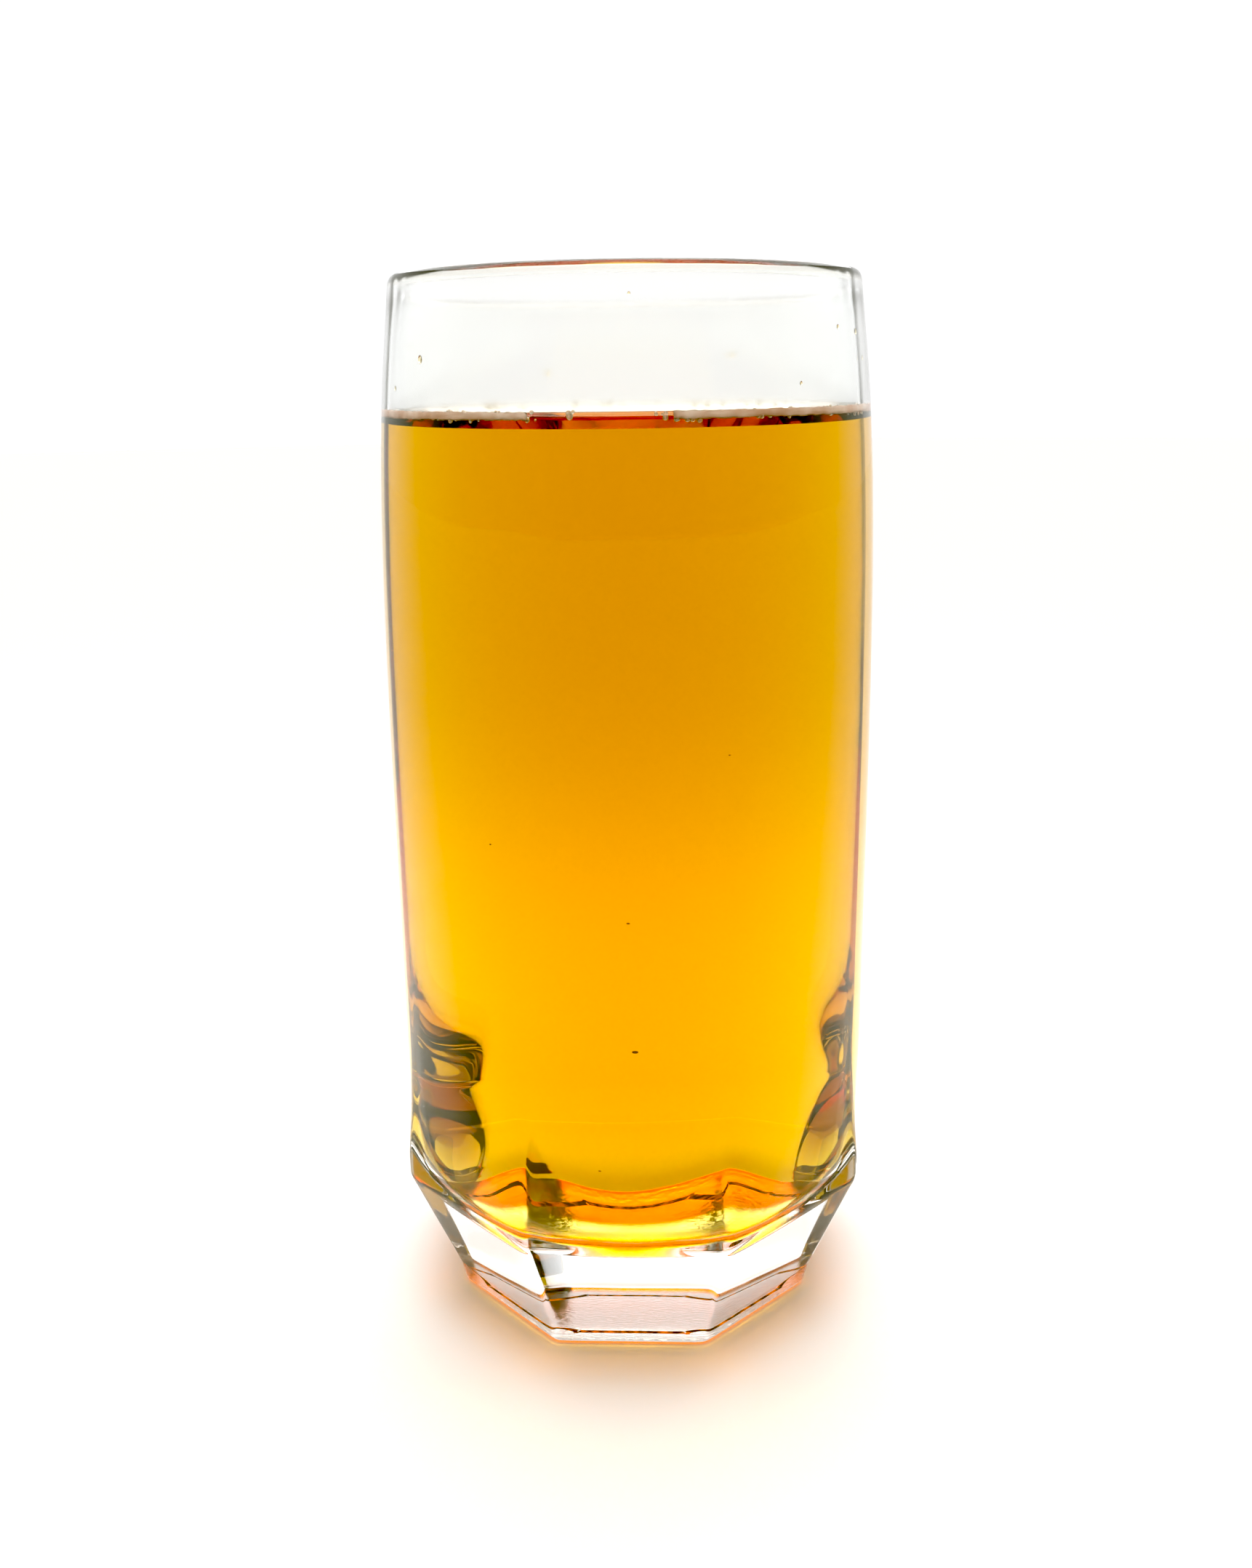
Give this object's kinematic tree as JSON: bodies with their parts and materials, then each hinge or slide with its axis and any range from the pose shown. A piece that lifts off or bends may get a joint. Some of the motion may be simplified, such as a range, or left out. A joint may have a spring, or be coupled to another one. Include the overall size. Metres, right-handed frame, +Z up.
{
  "type": "glass of juice",
  "caption": "Tall clear glass tumbler with a round body and an eight-sided, thick chamfered foot, nearly full of clear golden fruit juice.",
  "frame": {"origin": "centre of the foot's underside", "axes": "+Z up along the tumbler's axis, -Y out of the middle of one flat side"},
  "size_m": [0.0706, 0.0706, 0.1502],
  "materials": {
    "clear_glass": "clear, fire-polished",
    "golden_juice": "clear golden liquid, still surface"
  },
  "bodies": {
    "root": {"tumbler": "clear_glass", "juice": "golden_juice"}
  },
  "joints": []
}
